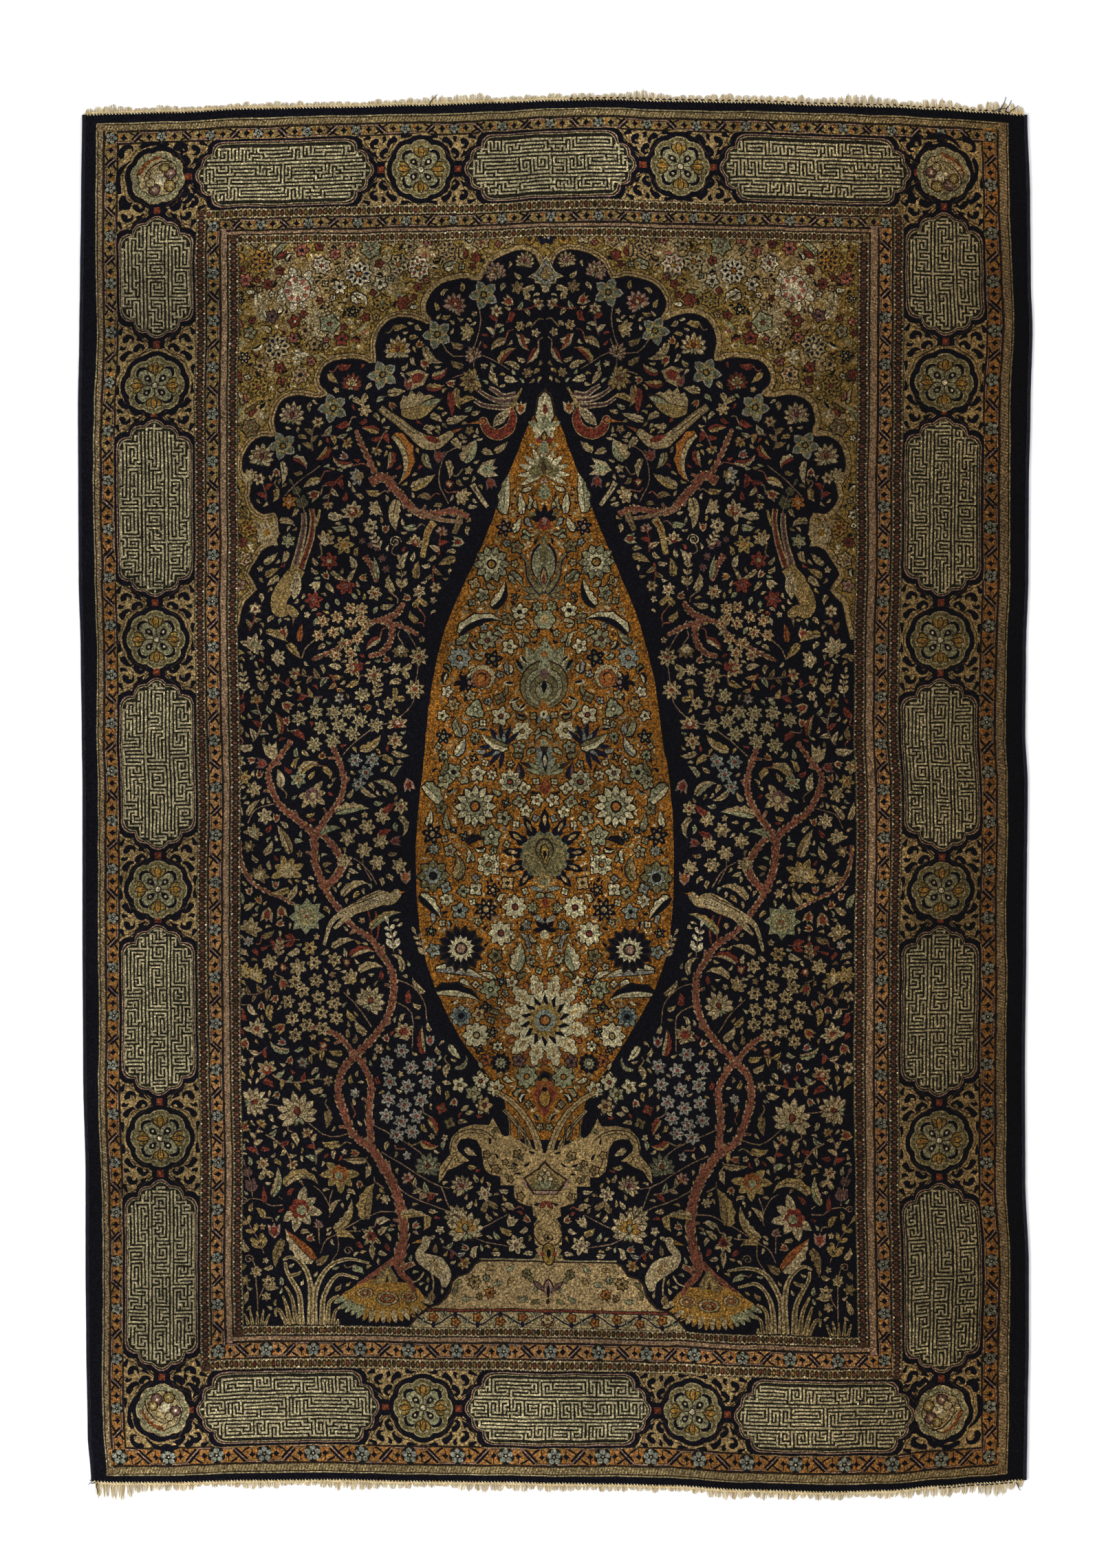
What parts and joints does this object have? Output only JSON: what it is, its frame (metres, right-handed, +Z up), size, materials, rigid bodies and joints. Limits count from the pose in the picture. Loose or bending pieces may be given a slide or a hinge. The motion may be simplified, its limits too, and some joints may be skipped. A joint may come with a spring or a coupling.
{
  "type": "persian rug",
  "caption": "Flat hand-knotted rectangular rug with an arched field, banded borders, bound sides and a short fringe at both ends.",
  "frame": {"origin": "on the floor under the middle of the rug", "axes": "+Y up the pattern, from the vase to the point of the arch; +X to the right of the pattern; +Z up out of the pile"},
  "size_m": [1.3879, 2.0531, 0.006],
  "materials": {
    "pile": "short knotted pile with a soft silky sheen",
    "selvedge_yarn": "navy yarn wound round the side cord",
    "fringe_yarn": "matte undyed cotton warp ends"
  },
  "bodies": {
    "root": {"pile_cloth": "pile", "selvedge_left": "selvedge_yarn", "selvedge_right": "selvedge_yarn", "fringe_top": "fringe_yarn", "fringe_bottom": "fringe_yarn"}
  },
  "joints": []
}
